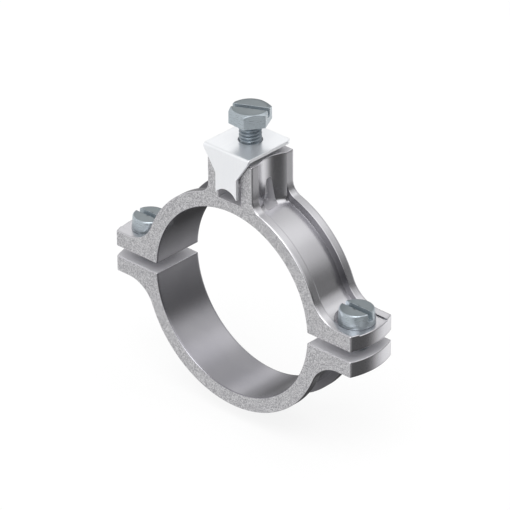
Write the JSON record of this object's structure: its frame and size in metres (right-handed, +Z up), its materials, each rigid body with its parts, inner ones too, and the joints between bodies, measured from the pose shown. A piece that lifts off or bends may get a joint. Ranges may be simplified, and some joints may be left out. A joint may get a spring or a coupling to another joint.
{
  "type": "earthing pipe clamp",
  "caption": "Two-part cast clamp that bonds an earth wire to a metal pipe, with slotted clamp screws and a terminal tower holding a strap under a slotted hexagon screw.",
  "frame": {"origin": "centre of the pipe, half way along the clamp", "axes": "+Y along the pipe, from the face with the strap's leg to the other face; +Z up through the terminal tower; +X from ear to ear"},
  "size_m": [0.087, 0.0175, 0.086],
  "materials": {
    "cast_zinc": "die-cast zinc alloy, satin, with a fine grain on the faces",
    "zinc_plated_steel": "bright blue-passivated zinc plating on turned steel",
    "stainless_sheet": "smooth bright stainless sheet"
  },
  "bodies": {
    "upper": {"upper_half": "cast_zinc"},
    "lower": {"lower_half": "cast_zinc"},
    "left_screw": {"clamp_screw_left": "zinc_plated_steel"},
    "right_screw": {"clamp_screw_right": "zinc_plated_steel"},
    "terminal": {"terminal_screw": "zinc_plated_steel"},
    "strap": {"clamping_strap": "stainless_sheet"}
  },
  "joints": [
    {"name": "lower_half_slide", "type": "slide", "parent": "upper", "child": "lower", "axis": [0, 0, -1], "range_m": [-0.0028, 0.004]},
    {"name": "clamp_screw_left_turn", "type": "hinge", "parent": "upper", "child": "left_screw", "pos_m": [-0.037, 0, 0], "axis": [0, 0, 1], "range_deg": [-1009, 1441]},
    {"name": "clamp_screw_right_turn", "type": "hinge", "parent": "upper", "child": "right_screw", "pos_m": [0.037, 0, 0], "axis": [0, 0, 1], "range_deg": [-1009, 1441]},
    {"name": "terminal_screw_turn", "type": "hinge", "parent": "upper", "child": "terminal", "pos_m": [0, 0, 0.04], "axis": [0, 0, 1], "continuous": true},
    {"name": "strap_lift", "type": "slide", "parent": "upper", "child": "strap", "axis": [0, 0, 1], "range_m": [0, 0.0052]}
  ],
  "couplings": [
    {"joint": "clamp_screw_left_turn", "follows": "lower_half_slide", "rad_per_m": 6283.2},
    {"joint": "clamp_screw_right_turn", "follows": "lower_half_slide", "rad_per_m": 6283.2}
  ]
}
